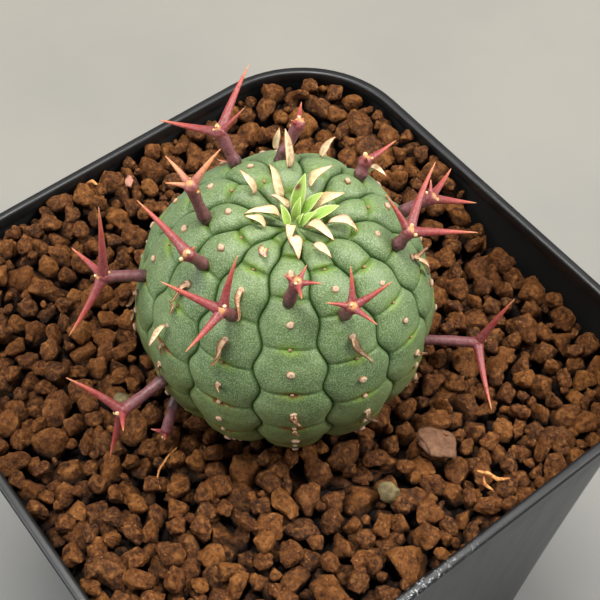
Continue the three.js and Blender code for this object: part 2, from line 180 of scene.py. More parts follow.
def tube(path, radii, sides, squash=1.0, roll=0.0):
    """Points and faces of a closed round rod along a path."""
    path = np.asarray(path, float)
    count = len(path)
    along = np.gradient(path, axis=0)
    along /= norm(along, axis=1)[:, None]
    side = unit(np.cross(along[0], [0.31, 0.17, 0.93]))
    angles = np.arange(sides) * 2 * pi / sides + roll
    rings = []
    for i in range(count):
        side = unit(side - along[i] * np.dot(side, along[i]))
        other = np.cross(along[i], side)
        ring = np.cos(angles)[:, None] * side + squash * np.sin(angles)[:, None] * other
        rings.append(path[i] + radii[i] * ring)
    points = np.concatenate(rings + [path[:1], path[-1:]])
    first, last = count * sides, count * sides + 1
    faces = grid_faces(count, sides, True)
    faces += fan(first, 0, sides, True) + fan(last, (count - 1) * sides, sides)
    return points, faces


def ball(subdivisions):
    """Points and triangles of an icosphere of radius 1."""
    made = bmesh.new()
    bmesh.ops.create_icosphere(made, subdivisions=subdivisions, radius=1)
    made.verts.ensure_lookup_table()
    points = np.array([v.co for v in made.verts])
    faces = np.array([[v.index for v in f.verts] for f in made.faces])
    made.free()
    return points, faces


SMALL_BALL = ball(2)
FINE_BALL = ball(3)


# ---- materials ----

def linear(red, green, blue):
    """A shader colour from display values of 0 to 255."""
    def channel(value):
        value /= 255
        return value / 12.92 if value <= 0.04045 else ((value + 0.055) / 1.055) ** 2.4
    return (channel(red), channel(green), channel(blue), 1.0)


class Paint:
    """A material with a principled shader, and short calls that add nodes to it.

    A colour is three display values of 0 to 255.
    """

    def __init__(self, name, roughness, specular=0.5):
        self.material = bpy.data.materials.new(name)
        self.material.use_nodes = True
        self.tree = self.material.node_tree
        self.shader = self.tree.nodes["Principled BSDF"]
        self.put(roughness, self.shader.inputs["Roughness"])
        self.put(specular, self.shader.inputs["Specular IOR Level"])
        metres = self.node("TexCoord", {}, "Object")
        self.place = self.node("VectorMath", {0: metres, "Scale": 1 / MM}, 0, operation="SCALE")

    def put(self, value, socket):
        if isinstance(value, str):
            value = self.node("Attribute", {}, "Fac", attribute_name=value)
        if isinstance(value, bpy.types.NodeSocket):
            self.tree.links.new(value, socket)
        elif socket.type == "RGBA":
            socket.default_value = linear(*value)
        else:
            socket.default_value = value

    def node(self, kind, inputs, output, **settings):
        made = self.tree.nodes.new("ShaderNode" + kind)
        for key, value in settings.items():
            setattr(made, key, value)
        for socket, value in inputs.items():
            self.put(value, made.inputs[socket])
        return made.outputs[output]

    def noise(self, size, detail=3.0, rough=0.55, place=None):
        return self.node("TexNoise", {"Vector": place or self.place, "Scale": 1 / size,
                                      "Detail": detail, "Roughness": rough}, "Fac")

    def stretched(self, *scale):
        return self.node("VectorMath", {0: self.place, 1: scale}, 0, operation="MULTIPLY")

    def reach(self, direction):
        """Distance of each place along a direction."""
        return self.node("VectorMath", {0: self.place, 1: direction}, "Value",
                         operation="DOT_PRODUCT")

    def remap(self, value, low, high, new_low=0.0, new_high=1.0):
        return self.node("MapRange", {"Value": value, "From Min": low, "From Max": high,
                                      "To Min": new_low, "To Max": new_high}, "Result")

    def maths(self, how, a, b):
        return self.node("Math", {0: a, 1: b}, 0, operation=how)

    def mix(self, mask, under, over, most=1.0):
        """Lays one colour over another where the mask is, times most."""
        if most != 1:
            mask = self.maths("MULTIPLY", mask, most)
        return self.node("Mix", {0: mask, 6: under, 7: over}, 2, data_type="RGBA")

    def over(self, mask, colour, most=1.0):
        self.colour = self.mix(mask, self.colour, colour, most)

    def ramp(self, factor, *stops):
        made = self.tree.nodes.new("ShaderNodeValToRGB")
        while len(made.color_ramp.elements) < len(stops):
            made.color_ramp.elements.new(0.5)
        for element, (at, colour) in zip(made.color_ramp.elements, stops):
            element.position = at
            element.color = linear(*colour)
        self.put(factor, made.inputs[0])
        return made.outputs[0]

    def bump(self, height, distance, strength=1.0, after=None):
        inputs = {"Distance": distance * MM, "Strength": strength, "Height": height}
        if after is not None:
            inputs["Normal"] = after
        return self.node("Bump", inputs, 0)

    def finish(self, normal=None, roughness=None):
        given = {"Base Color": self.colour, "Normal": normal, "Roughness": roughness}
        for name, value in given.items():
            if value is not None:
                self.put(value, self.shader.inputs[name])
        return self.material


def skin_paint():
    p = Paint("skin", 0.5, 0.4)
    speck = p.remap(p.noise(0.18, 2.0, 0.6), 0.45, 0.62)
    fine = p.remap(p.noise(0.13, 1.0), 0.35, 0.7)
    broad = p.remap(p.noise(6.5, 3.0), 0.35, 0.68)
    patch = p.remap(p.noise(2.4, 3.0), 0.38, 0.62)
    p.colour = p.mix(broad, (76, 102, 54), (106, 128, 78))
    p.over(patch, (64, 94, 54), 0.4)
    p.over(speck, (160, 174, 136), 0.6)
    p.over(fine, (58, 84, 38), 0.4)
    p.over("low", (104, 104, 40), 0.6)
    p.over("crown", (158, 176, 122), 0.25)
    p.over("eye", (118, 146, 36), 0.85)
    # groove and furrow: darker green in the creases, partly the skin's own colour and partly
    # painted shade
    p.over("groove", (52, 84, 20), 0.65)
    p.over("furrow", (42, 76, 16), 0.85)
    stain = p.maths("MULTIPLY", "low", p.remap(p.noise(1.7, 4.0, 0.65), 0.5, 0.66))
    p.over(stain, (84, 76, 30), 0.7)
    rust = p.remap(p.noise(0.8, 4.0, 0.7), 0.42, 0.5)
    cork = p.remap("cork", 0.15, 0.6)
    p.over(p.maths("MULTIPLY", cork, rust), (106, 60, 30))
    p.over(p.remap(p.noise(0.5, 2.0), 0.70, 0.76), (190, 198, 176), 0.35)
    normal = p.bump(p.noise(0.26, 2.0), 0.08, 0.8)
    rough = p.remap(speck, 0, 1, 0.4, 0.6)
    return p.finish(normal, rough)


def pot_paint():
    p = Paint("pot_plastic", 0.4, 0.5)
    streak = p.remap(p.noise(3.0, 4.0, 0.6, p.stretched(0.9, 0.9, 0.12)), 0.42, 0.72)
    dust = p.remap(p.noise(0.7, 5.0, 0.7), 0.6, 0.78)
    p.colour = p.mix(streak, (42, 43, 44), (54, 55, 56))
    p.over(dust, (104, 102, 98), 0.5)
    # painted shade: the inside of the pot is painted near black, and made dull below
    p.colour = p.mix("outside", (7, 7, 7), p.colour)
    p.over("lip", (15, 15, 16))
    # white flecks on the front-right rim: painted glints (painted highlight), partly scratches
    glint = p.remap(p.noise(0.55, 4.0, 0.7), 0.55, 0.62)
    p.over(p.maths("MULTIPLY", "edge", glint), (196, 200, 204))
    grain = p.bump(p.noise(0.25, 2.0), 0.01, 0.5)
    normal = p.bump(p.noise(9.0, 2.0), 0.2, 0.5, grain)
    dull = p.remap("outside", 0.0, 0.3, 0.95, 0.0)
    rough = p.maths("MAXIMUM", p.remap(streak, 0, 1, 0.38, 0.46), dull)
    return p.finish(normal, rough)


def clay_paint():
    p = Paint("clay", 0.6, 0.3)
    p.colour = p.ramp("tone", (0.0, (68, 33, 8)), (0.35, (100, 53, 15)),
                      (0.7, (126, 72, 23)), (1.0, (156, 96, 38)))
    p.over(p.remap(p.noise(0.75, 4.0, 0.75), 0.42, 0.6), (164, 104, 48), 0.6)
    # dark pore spots: painted shade in the pores
    p.over(p.remap(p.noise(0.6, 4.0, 0.75), 0.5, 0.38), (48, 22, 7), 0.6)
    # small bright flecks: painted highlight
    p.over(p.remap(p.noise(0.3, 2.0, 0.6), 0.65, 0.7), (222, 168, 110), 0.6)
    # relief: painted shade in the pits of each grain and painted highlight on its ridges
    p.over(p.remap("relief", 0.42, 0.12, 0.0, 0.8), (42, 18, 5))
    p.over(p.remap("relief", 0.58, 0.85, 0.0, 0.6), (196, 132, 70))
    # deep: painted shade under each grain and between the grains below the surface
    p.over("deep", (22, 8, 2))
    rough = p.bump(p.noise(0.8, 5.0, 0.75), 1.6, 1.0)
    normal = p.bump(p.noise(0.25, 3.0, 0.65), 0.22, 1.0, rough)
    shine = p.remap(p.noise(0.7, 2.0), 0.35, 0.65, 0.4, 0.85)
    return p.finish(normal, shine)


def bed_paint():
    # painted shade: the bed under the loose grains is painted near black
    p = Paint("soil_bed", 0.98, 0.1)
    p.colour = p.mix(p.noise(1.6, 4.0), (12, 6, 3), (30, 16, 8))
    return p.finish(p.bump(p.noise(1.5, 4.0), 1.0))


def stone_paint(name, dark, light, size):
    p = Paint(name, 0.7, 0.4)
    p.colour = p.mix(p.remap(p.noise(size, 5.0, 0.7), 0.35, 0.65), dark, light)
    return p.finish(p.bump(p.noise(size * 0.5, 4.0), 0.15))


def wood_paint():
    p = Paint("thorn_wood", 0.42, 0.45)
    p.colour = p.ramp("age", (0.0, (58, 36, 36)), (0.06, (104, 60, 62)),
                      (0.32, (112, 62, 66)), (0.5, (126, 48, 48)), (0.7, (154, 54, 48)),
                      (0.86, (182, 80, 56)), (1.0, (216, 144, 94)))
    bleached = p.mix(p.remap("age", 0.45, 0.75), (150, 96, 82), (224, 142, 92))
    p.over(p.maths("MULTIPLY", "pale", p.remap("age", 0.4, 0.6)), bleached)
    p.over(p.remap(p.noise(0.5, 4.0, 0.65), 0.38, 0.66), (160, 116, 112), 0.34)
    p.over(p.remap(p.noise(0.3, 3.0, 0.6), 0.45, 0.3), (66, 26, 28), 0.7)
    p.over("scar", p.mix(p.noise(0.4), (186, 112, 58), (216, 168, 112)))
    return p.finish(p.bump(p.noise(0.35, 3.0), 0.09, 0.8))


def green_paint():
    p = Paint("green_leaf", 0.42, 0.4)
    grain = p.noise(0.35, 2.0, 0.5)
    p.colour = p.mix(p.remap(grain, 0.35, 0.65), (124, 168, 66), (158, 192, 92))
    p.over(p.remap("along", 0.1, 0.9), (164, 192, 94))
    p.over(p.remap("edge", 0.74, 1.0), (214, 222, 158))
    p.over(p.remap("edge", 0.16, 0.0, 0.0, 0.55), (118, 166, 66))
    p.over("spot", (112, 72, 60), 1.4)
    return p.finish(p.bump(grain, 0.05, 0.5))


def dry_paint():
    p = Paint("dry_leaf", 0.7, 0.25)
    streak = p.noise(0.5, 4.0, 0.6)
    p.colour = p.mix("tone", (232, 206, 156), (216, 182, 152))
    p.over(p.remap(streak, 0.42, 0.6), (242, 226, 186))
    p.over(p.remap("edge", 0.68, 1.0), (176, 104, 60), 0.75)
    p.over(p.remap("along", 0.9, 1.0, 0.0, 0.6), (176, 96, 54))
    p.over(p.remap("along", 0.12, 0.0, 0.0, 0.8), (128, 84, 50))
    p.over(p.remap(p.noise(0.8, 4.0, 0.7), 0.6, 0.68), (150, 92, 60), 0.45)
    p.over("spot", (150, 112, 150))
    return p.finish(p.bump(streak, 0.12, 0.7))


def withered_paint():
    p = Paint("withered", 0.75, 0.25)
    streak = p.remap(p.noise(0.45, 4.0, 0.65), 0.38, 0.62)
    p.colour = p.mix("tone", (206, 164, 118), (178, 112, 62))
    p.over(streak, (232, 204, 166))
    p.over(p.remap("edge", 0.45, 0.85, 0.0, 0.85), (112, 60, 34))
    p.over("spot", (176, 150, 180))
    return p.finish(p.bump(streak, 0.12, 0.8))


def scar_paint():
    p = Paint("leaf_scar", 0.85, 0.2)
    p.colour = p.mix(p.noise(0.3, 3.0), (172, 132, 100), (230, 204, 176))
    # rim: painted shade round the foot of each stub, and the higher eyes' own brown
    p.over("rim", (108, 74, 38))
    return p.finish(p.bump(p.noise(0.2, 3.0), 0.08))


def bud_paint():
    p = Paint("dry_bud", 0.7, 0.3)
    p.colour = p.mix("tone", (222, 196, 132), (206, 122, 52))
    p.over(p.remap(p.noise(0.3, 2.0), 0.5, 0.6), (246, 232, 190))
    return p.finish(p.bump(p.noise(0.2, 2.0), 0.05))


def twig_paint():
    p = Paint("twig", 0.8, 0.2)
    p.colour = p.mix(p.remap(p.noise(0.6, 4.0), 0.4, 0.62), (150, 88, 44), (216, 158, 96))
    return p.finish(p.bump(p.noise(0.3, 3.0), 0.1))


skin = skin_paint()
pot_plastic = pot_paint()
clay = clay_paint()
bed_clay = bed_paint()
thorn_wood = wood_paint()
green_leaf = green_paint()
dry_leaf = dry_paint()
withered = withered_paint()
leaf_scar = scar_paint()
dry_bud = bud_paint()
twig_wood = twig_paint()
grey_stone = stone_paint("grey_stone", (84, 72, 42), (126, 112, 76), 0.9)
brown_stone = stone_paint("brown_stone", (84, 54, 34), (120, 84, 58), 1.2)
pink_stone = stone_paint("pink_stone", (150, 96, 78), (190, 140, 120), 0.8)


# ---- the pot ----

def outer_half(z):
    return BASE_HALF + (RIM_HALF - BASE_HALF) * z / POT_HEIGHT


def inner_half(z):
    return outer_half(z) - np.where(z > POT_HEIGHT - RIM_DEPTH, RIM_WALL, WALL)


def corner_at(half):
    share = (half - BASE_HALF) / (RIM_HALF - BASE_HALF)
    return np.minimum(BASE_CORNER + (RIM_CORNER - BASE_CORNER) * share, half)


def square_ring(half, corner):
    """Points round a rounded square."""
    flat = 14
    arc = 18
    straight = half - corner
    side = [(half, straight * (2 * i / flat - 1)) for i in range(flat)]
    side += [(straight + corner * cos(a), straight + corner * sin(a))
             for a in np.linspace(0, pi / 2, arc, endpoint=False)]
    side = np.array(side)
    quarters = [(side[:, 0], side[:, 1]), (-side[:, 1], side[:, 0]),
                (-side[:, 0], -side[:, 1]), (side[:, 1], -side[:, 0])]
    return np.concatenate([np.column_stack(q) for q in quarters])


def pot_profile():
    """Half width, height and outside share of each ring, up the outside and down the inside."""
    top = POT_HEIGHT
    foot = outer_half(0) - FOOT_WIDTH
    profile = [(foot, FLOOR_UNDER, 0), (foot, 0.4, 0), (foot + 0.3, 0, 0),
               (outer_half(0) - 1.0, 0, 0), (outer_half(0) - 0.35, 0.12, 1),
               (outer_half(0.8), 0.8, 1)]
    for z in np.linspace(4, top - RIM_DEPTH - 1, 16):
        bow = 0.25 * sin(pi * z / top)
        profile.append((outer_half(z) - bow, z, 1))
    profile += [(outer_half(top - 3) - 0.12, top - 3, 1), (outer_half(top - 1), top - 1, 1)]
    bevel = 0.5
    for angle in np.linspace(0, pi / 2, 5):
        profile.append((outer_half(top) - 0.04 - bevel * (1 - cos(angle)),
                        top - bevel * (1 - sin(angle)), 1))
    for angle in np.linspace(pi / 2, pi, 5):
        profile.append((inner_half(top) + bevel * (1 + cos(angle)),
                        top - bevel * (1 - sin(angle)), 0.5))
    profile += [(inner_half(top), top - RIM_DEPTH + 0.2, 0),
                (inner_half(top - RIM_DEPTH - 0.6), top - RIM_DEPTH - 0.6, 0)]
    for z in np.linspace(top - 8, FLOOR_TOP + 2, 8):
        profile.append((inner_half(z), z, 0))
    profile.append((inner_half(FLOOR_TOP) - 2, FLOOR_TOP, 0))
    return profile


def make_pot():
    shape = Shape()
    rings = []
    values = {"outside": [], "edge": [], "lip": []}
    for half, z, out in pot_profile():
        ring = square_ring(half, corner_at(half))
        rings.append(np.column_stack([ring, np.full(len(ring), z)]))
        near_top = max(0.0, 1 - abs(z - POT_HEIGHT) / 0.6)
        # the front-right rim band that gets the painted glints, partly scratches
        scratch_and_glint = np.clip((ring[:, 0] - 43) / 1.2, 0, 1) * np.exp(-(((ring[:, 1] + 12) / 9) ** 2))
        values["outside"].append(np.full(len(ring), float(out)))
        values["edge"].append(near_top * scratch_and_glint)
        values["lip"].append(np.full(len(ring), min(1.0, near_top * 2)))
    columns = len(rings[0])
    faces = grid_faces(len(rings), columns, True)
    faces.append(tuple(range(columns - 1, -1, -1)))
    faces.append(tuple((len(rings) - 1) * columns + c for c in range(columns)))
    shape.add(np.concatenate(rings), faces, **{k: np.concatenate(v) for k, v in values.items()})
    pot = shape.build("pot_shell", pot_plastic, "pot", ["pot"])
    cut(pot, drains())
    pot.data.set_sharp_from_angle(angle=radians(35))
    return pot


def drains():
    """Cutters for the nine drain holes and the two slots through the foot."""
    holes = Shape()
    for x in (-1, 0, 1):
        for y in (-1, 0, 1):
            at = np.array([x, y, 0]) * DRAIN_SPACING
            holes.add(*tube([at + [0, 0, z] for z in (-2, 3, 8)], [DRAIN_RADIUS] * 3, 28))
    cutters = [holes]
    box = [(3, 2, 1, 0), (4, 5, 6, 7), (0, 1, 5, 4), (1, 2, 6, 5), (2, 3, 7, 6), (3, 0, 4, 7)]
    beyond = 60
    for half_x, half_y in ((beyond, FOOT_SLOT / 2), (FOOT_SLOT / 2, beyond)):
        slot = Shape()
        slot.add([(sx * half_x, sy * half_y, z) for z in (-1.5, 1.5)
                  for sx, sy in ((-1, -1), (1, -1), (1, 1), (-1, 1))], box)
        cutters.append(slot)
    return cutters


def cut(target, cutters):
    made = []
    for i, shape in enumerate(cutters):
        mesh = bpy.data.meshes.new(f"cutter_{i}")
        mesh.from_pydata((np.concatenate(shape.points) * MM).tolist(), [], shape.faces)
        made.append(show(f"cutter_{i}", mesh))
        step = target.modifiers.new(f"cut_{i}", "BOOLEAN")
        step.operation = "DIFFERENCE"
        step.solver = "EXACT"
        step.object = made[-1]
    bpy.context.view_layer.update()
    graph = bpy.context.evaluated_depsgraph_get()
    whole = bpy.data.meshes.new_from_object(target.evaluated_get(graph))
    target.modifiers.clear()
    target.data = whole
    for cutter in made:
        bpy.data.objects.remove(cutter)


make_pot()


# ---- the lattice of ribs and tubercles ----

def row_phase(rib):
    return np.mod(8 * np.asarray(rib), RIBS) / RIBS


def row_at(rib, latitude):
    return (FIRST_ROW - latitude) / ROW_STEP + row_phase(rib)


def row_latitude(rib, row):
    return FIRST_ROW - ROW_STEP * (row - row_phase(rib))


def rib_bearing(rib, latitude):
    return FIRST_RIB + rib * RIB_STEP + RIB_TWIST * (latitude - TWIST_LATITUDE)


def furrow_bearing(rib, latitude):
    here = np.cos(2 * np.pi * row_at(rib, latitude))
    following = np.cos(2 * np.pi * row_at(rib + 1, latitude))
    return rib_bearing(rib + 0.5, latitude) + WAVE * (here - following) * 0.5


def globe_outline(latitude):
    angle = np.radians(latitude)
    under = np.maximum(0, -np.sin(angle))
    radius = RADIUS * np.cos(angle) * (1 - UNDER_TAPER * under * under)
    dip = CROWN_DIP * np.exp(-((radius / CROWN_WIDTH) ** 2))
    height = HALF_HEIGHT * np.sin(angle) - np.where(np.asarray(latitude) > 0, dip, 0)
    return radius, height


def outline_point(bearing, latitude, inward=0.0):
    radius, height = globe_outline(latitude)
    angle = np.radians(bearing)
    radius = radius - inward * np.cos(np.radians(latitude))
    height = height - inward * np.sin(np.radians(latitude))
    return np.stack([radius * np.cos(angle), radius * np.sin(angle),
                     height + 0 * radius], axis=-1)


def skin_frame(rib, row):
    """Place on the skin in the pot's frame, with directions out, up the rib and round."""
    latitude = row_latitude(rib, row)
    bearing = rib_bearing(rib, latitude)
    above = globe_outline(latitude + 1)
    below = globe_outline(latitude - 1)
    angle = radians(bearing)
    up = unit([cos(angle) * (above[0] - below[0]), sin(angle) * (above[0] - below[0]),
               above[1] - below[1]])
    around = np.array([-sin(angle), cos(angle), 0])
    out = np.cross(around, up)
    origin = to_pot(outline_point(bearing, latitude))
    return origin, out @ TURN.T, up @ TURN.T, around @ TURN.T


def cad_points(name):
    """The corners of a CAD node, each once, in millimetres."""
    points = np.array([v.co for v in nodes[name].data.vertices]) / MM
    return np.unique(np.round(points, 3), axis=0)


KNOB_RADIUS = 0.9


def spine_skeleton(name):
    """Foot, fork and thorn tips of a spine, read from its solid."""
    points = cad_points(name)
    from_centre = norm(points - CENTRE, axis=1)
    foot = points[np.argsort(from_centre)[:7]].mean(0)
    rest = points[norm(points - foot, axis=1) > 1.4]
    apart = norm(rest[:, None] - rest[None], axis=2)
    crowded = (apart < 0.28).sum(1) >= 5
    fork = rest[~crowded].mean(0)
    for _ in range(40):
        reach = norm(rest - fork, axis=1)
        weight = np.exp(-(((reach - KNOB_RADIUS) / 0.15) ** 2))
        ideal = rest - KNOB_RADIUS * (rest - fork) / reach[:, None]
        fork = (weight[:, None] * ideal).sum(0) / weight.sum()
    tips = []
    left = crowded & (norm(rest - fork, axis=1) > 1.25)
    while left.any():
        first = np.flatnonzero(left)[0]
        group = left & (apart[first] < 0.3)
        tips.append(rest[group].mean(0))
        left &= ~group
    return foot, fork, tips


spines = {n: spine_skeleton(n) for n in sorted(nodes) if n.startswith("spine_")}
feet = np.array([s[0] for s in spines.values()])


def leaf_facts(name):
    """Base, tip, width direction, upper side, width and arch of a leaf's solid."""
    points = cad_points(name)
    apart = norm(points[:, None] - points[None], axis=2)
    a, b = np.unravel_index(np.argmax(apart), apart.shape)
    base, tip = points[a], points[b]
    if norm(base - CENTRE) > norm(tip - CENTRE):
        base, tip = tip, base
    along = unit(tip - base)
    side = unit(np.cross(np.array(AXIS), along))
    up = np.cross(along, side)
    width = np.ptp(points @ side)
    share = (points - base) @ along / norm(tip - base)
    middle = np.abs(share - 0.5) < 0.15
    arch = float(np.mean((points[middle] - base) @ up)) - 0.12 * width
    return base, tip, side, up, float(width), arch


leaves = {n: leaf_facts(n) for n in sorted(nodes) if "leaf_" in n}
leaf_bases = np.array([f[0] for f in leaves.values()])


# ---- the skin ----

COLUMNS_PER_RIB = 24
GLOBE_ROWS = 280
CROWN_FURROW = 1.5
SIDE_FURROW = 1.1
UNDER_FURROW = 2.3
HIGHEST_LATITUDE = 88.6
ROOT_SHARES = (0.25, 0.5, 0.75, 1.0)

tubercle_size = rng.uniform(0.8, 1.2, (RIBS, 16))
tubercle_lift = rng.uniform(-0.10, 0.14, (RIBS, 16))


def skin_relief(across, row, latitude, rib, half_width):
    """Depth of the skin below the smooth outline, and masks for its colours."""
    fade = np.clip((88 - latitude) / 14, 0, 1) * np.clip((latitude + 70) / 25, 0, 1)
    up = np.clip((latitude - 35) / 40, 0, 1)
    down = np.clip(-latitude / 30, 0, 1)
    furrow_depth = SIDE_FURROW + (CROWN_FURROW - SIDE_FURROW) * up
    furrow_depth = furrow_depth + (UNDER_FURROW - SIDE_FURROW) * down
    a = np.abs(across)
    furrow = 1 - (1 - a ** 2.5) ** 0.52
    whole = np.round(row)
    at = (whole + 6).astype(int) % 16
    size = tubercle_size[rib, at]
    b = 2 * np.abs(row - whole)
    sharp = 8 - 4.5 * up
    groove_depth = (0.2 + 1.0 * up) * size
    groove = 1 - (1 - b ** sharp) ** 0.5
    arc = (1 - b) * ROW_STEP / 2 * pi / 180 * RADIUS
    crease = np.exp(-((arc / 0.2) ** 2))
    shoulder = 1 - 0.75 * a ** 4
    lateral = across * half_width
    scar_bump = np.exp(-(((row - whole) * 6.6) ** 2 + lateral ** 2) / 0.8)
    eye_pit = np.exp(-(arc ** 2 + lateral ** 2) / 0.25)
    depth = furrow_depth * furrow + groove_depth * groove * shoulder
    depth = depth + 0.12 * crease * shoulder - 0.14 * scar_bump + 0.2 * eye_pit
    depth = depth - tubercle_lift[rib, at] * (1 - a * a) * (1 - b * b)
    gap = (1 - a) * half_width
    masks = {
        "furrow": np.exp(-((gap / 0.24) ** 2)) * np.clip(fade * 2, 0, 1),
        "groove": np.exp(-((arc / (0.16 + 0.3 * up)) ** 2)),
        "eye": np.exp(-(arc ** 2 / 0.5 + lateral ** 2 / 2.2)),
        "cork": np.exp(-(arc ** 2 / 0.3 + lateral ** 2 / 4.0))
        * np.clip((32 - latitude) / 20, 0, 1) * (size > 0.88),
        "crown": up * (1 - b * b) * (1 - a * a),
        "low": np.clip((18 - latitude) / 45, 0, 1),
    }
    return depth * fade, masks


def with_root(points, values, columns):
    """Adds the taproot's rings below the skin, and a point at each end."""
    neck_radius, neck_height = globe_outline(NECK_LATITUDE)
    rings = []
    for share in ROOT_SHARES:
        size = 1 + (ROOT_RADIUS / neck_radius - 1) * share ** 0.6
        ring = points[-columns:] * [size, size, 1]
        ring[:, 2] += (-ROOT_TIP + 1 - neck_height) * share
        rings.append(ring)
    ends = [[0, 0, points[:columns, 2].mean()], [0, 0, -ROOT_TIP]]
    values = {k: np.concatenate([v, np.tile(v[-columns:], len(rings)), [v[0], 0]])
              for k, v in values.items()}
    return np.concatenate([points] + rings + [ends]), values


def make_skin():
    latitudes = np.linspace(HIGHEST_LATITUDE, NECK_LATITUDE, GLOBE_ROWS)
    steps = np.linspace(-1, 1, COLUMNS_PER_RIB, endpoint=False)
    lat, across = np.broadcast_arrays(latitudes[:, None], np.sin(steps * np.pi / 2))
    places = []
    masks = []
    for rib in range(RIBS):
        left = furrow_bearing(rib - 1, lat)
        right = furrow_bearing(rib, lat)
        half_width = np.radians(right - left) / 2 * globe_outline(lat)[0]
        depth, found = skin_relief(across, row_at(rib, lat), lat, rib, half_width)
        places.append(outline_point(left + (right - left) * (across + 1) / 2, lat, depth))
        masks.append(found)
    points = np.concatenate(places, axis=1)
    values = {k: np.concatenate([np.broadcast_to(m[k], lat.shape) for m in masks], axis=1).ravel()
              for k in masks[0]}
    rows, columns = points.shape[:2]
    flat = points.reshape(-1, 3)
    grain = 0.10 * wobble(flat, 3.2) + 0.03 * wobble(flat, 0.9, 2)
    flat = flat * (1 + (grain / norm(flat, axis=1)))[:, None]
    points, values = with_root(flat, values, columns)
    faces = grid_faces(rows + len(ROOT_SHARES), columns, True)
    top = (rows + len(ROOT_SHARES)) * columns
    faces += fan(top, 0, columns, True) + fan(top + 1, top - columns, columns)
    faces = [tuple(reversed(f)) for f in faces]
    shape = Shape()
    shape.add(to_pot(points), faces, **values)
    return shape.build("skin", skin, "skin", ["stem"])


make_skin()


# ---- leaf scars, eyes and dried remnants ----

def stub(shape, origin, out, up, width, height, squash, lean=0.0, brown_top=0.0):
    """A small irregular woody stub with a darker rim round its foot, painted shade where it meets
    the skin.
    """
    around = np.cross(up, out)
    rings = [(0.75, -0.45, 1.0), (0.72, 0.02, 1.0), (0.62, 0.35, 0.9), (0.50, 0.8, 0.25),
             (0.30, 1.0, 0.0), (0.0, 0.78, 0.35)]
    sides = 9
    angles = np.arange(sides) * 2 * pi / sides
    jitter = rng.uniform(0.82, 1.18, sides)
    points = []
    rim = []
    for reach, rise, brown in rings[:-1]:
        wave = jitter * rng.uniform(0.93, 1.07, sides)
        ring = origin + out * rise * height + up * lean * rise * height
        ring = ring + (np.cos(angles) * reach * width * wave)[:, None] * around
        ring = ring + (np.sin(angles) * reach * width * wave * squash)[:, None] * up
        points.append(ring)
        rim.append(np.full(sides, max(brown, brown_top)))
    _, rise, brown = rings[-1]
    points.append([origin + out * rise * height + up * lean * height])
    rim.append([max(brown, brown_top)])
    count = len(rings) - 1
    faces = grid_faces(count, sides, True)
    tip = count * sides
    faces += fan(tip, (count - 1) * sides, sides)
    faces.append(tuple(range(sides - 1, -1, -1)))
    shape.add(np.concatenate(points), faces, rim=np.concatenate(rim))


def blade(shape, path, strip, halves, fold, thickness, across, tone, spot):
    """A thin folded strip, closed all round. fold lifts its edges as a share of its width."""
    path = np.asarray(path)
    count = len(path)
    share = np.linspace(-1, 1, across + 1)
    upper = []
    for i, (way, up) in enumerate(strip):
        lift = fold[i] * np.abs(share) ** 1.3 * halves[i]
        upper.append(path[i] + np.outer(share * halves[i], way) + np.outer(lift, up))
    upper = np.array(upper)
    thin = thickness * (1 - 0.6 * np.abs(share))[None, :, None]
    lower = upper - thin * np.array([up for _, up in strip])[:, None, :]
    columns = across + 1
    n = count * columns
    points = np.concatenate([upper.reshape(-1, 3), lower.reshape(-1, 3)])
    top = grid_faces(count, columns, False)
    faces = [tuple(reversed(f)) for f in top] + [tuple(i + n for i in f) for f in top]
    border = list(range(columns))
    border += [r * columns + across for r in range(1, count)]
    border += [(count - 1) * columns + c for c in range(across - 1, -1, -1)]
    border += [r * columns for r in range(count - 2, 0, -1)]
    for i, j in zip(border, border[1:] + border[:1]):
        faces.append((i, j, j + n, i + n))
    along = np.repeat(np.linspace(0, 1, count), columns)
    edge = np.tile(np.abs(share), count)
    marked = np.zeros(len(along))
    if spot:
        where = ((along - spot[0]) / 0.09) ** 2 + ((np.tile(share, count) - spot[1]) / 0.45) ** 2
        marked = np.exp(-where)
    shape.add(points, faces, along=np.tile(along, 2), edge=np.tile(edge, 2),
              tone=tone, spot=np.tile(marked, 2))


def turned(direction, side, angle):
    """A strip's width direction, turned about its length, and its upper side."""
    way = cos(angle) * side + sin(angle) * unit(np.cross(direction, side))
    return way, np.cross(direction, way)


def scrap(shape, rib, row, length, width, heading, curl, tone, spot):
    """A dried, curled leaf that hangs from its tubercle. heading is measured from up the rib."""
    origin, out, up, around = skin_frame(rib, row)
    angle = radians(heading)
    way = cos(angle) * up + sin(angle) * around
    side = np.cross(out, way)
    count = 14
    path = []
    strip = []
    halves = []
    place = origin + out * 0.35
    direction = unit(way + 0.45 * out)
    for i in range(count):
        share = i / (count - 1)
        path.append(place.copy())
        strip.append(turned(direction, side, curl * 1.4 * share))
        halves.append(width / 2 * (0.45 + 0.6 * sin(pi * min(1, share + 0.15)) ** 0.8))
        direction = unit(direction - out * 0.16 * cos(5.0 * share)
                         + side * 0.12 * sin(5 * share * curl + tone))
        place = place + direction * length / (count - 1)
    blade(shape, path, strip, halves, [0.75] * count, 0.14, 4, tone, spot)


